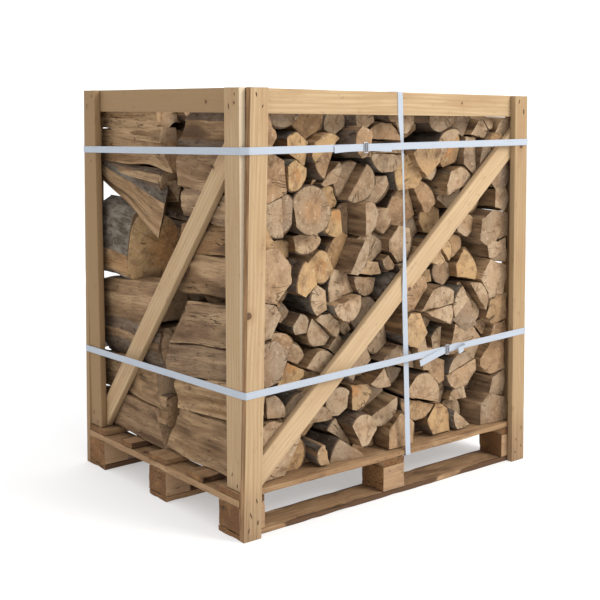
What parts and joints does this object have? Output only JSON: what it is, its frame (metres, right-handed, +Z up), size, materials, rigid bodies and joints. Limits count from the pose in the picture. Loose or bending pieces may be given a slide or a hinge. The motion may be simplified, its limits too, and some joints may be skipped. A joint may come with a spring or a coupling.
{
  "type": "firewood crate",
  "caption": "Open timber crate on a block pallet, filled with two rows of split logs and tied with woven lashing straps.",
  "frame": {"origin": "on the floor, under the middle of the pallet", "axes": "+Z up; X along the long front, which faces -Y; the upright strap and both buckles are on the front"},
  "size_m": [1.1001, 0.8573, 1.165],
  "materials": {
    "crate_wood": "sawn softwood boards, dry and pale, with grain, a few knots and nails",
    "pallet_wood": "rougher sawn pallet boards and blocks, darker and dirtier",
    "firewood": "kiln-dried hardwood: sawn ends with cracks, fibrous split faces and grey bark",
    "strap_webbing": "white woven polyester lashing with a faint rib",
    "buckle_wire": "bent steel wire, dull zinc"
  },
  "bodies": {
    "root": {"back_board_left": "crate_wood", "back_board_right": "crate_wood", "back_brace": "crate_wood", "back_rail": "crate_wood", "block_back_left": "pallet_wood", "block_back_middle": "pallet_wood", "block_back_right": "pallet_wood", "block_centre_left": "pallet_wood", "block_centre_middle": "pallet_wood", "block_centre_right": "pallet_wood", "block_front_left": "pallet_wood", "block_front_middle": "pallet_wood", "block_front_right": "pallet_wood", "bottom_board_back": "pallet_wood", "bottom_board_centre": "pallet_wood", "bottom_board_front": "pallet_wood", "buckle_lower": "buckle_wire", "buckle_upper": "buckle_wire", "deck_board_1": "pallet_wood", "deck_board_2": "pallet_wood", "deck_board_3": "pallet_wood", "deck_board_4": "pallet_wood", "deck_board_5": "pallet_wood", "front_board_left": "crate_wood", "front_board_right": "crate_wood", "front_brace": "crate_wood", "front_rail": "crate_wood", "left_board_back": "crate_wood", "left_board_front": "crate_wood", "left_brace": "crate_wood", "left_rail": "crate_wood", "log_row_back": "firewood", "log_row_front": "firewood", "right_board_back": "crate_wood", "right_board_front": "crate_wood", "right_brace": "crate_wood", "right_rail": "crate_wood", "strap_lower": "strap_webbing", "strap_upper": "strap_webbing", "strap_upright": "strap_webbing", "stringer_left": "pallet_wood", "stringer_middle": "pallet_wood", "stringer_right": "pallet_wood"}
  },
  "joints": []
}
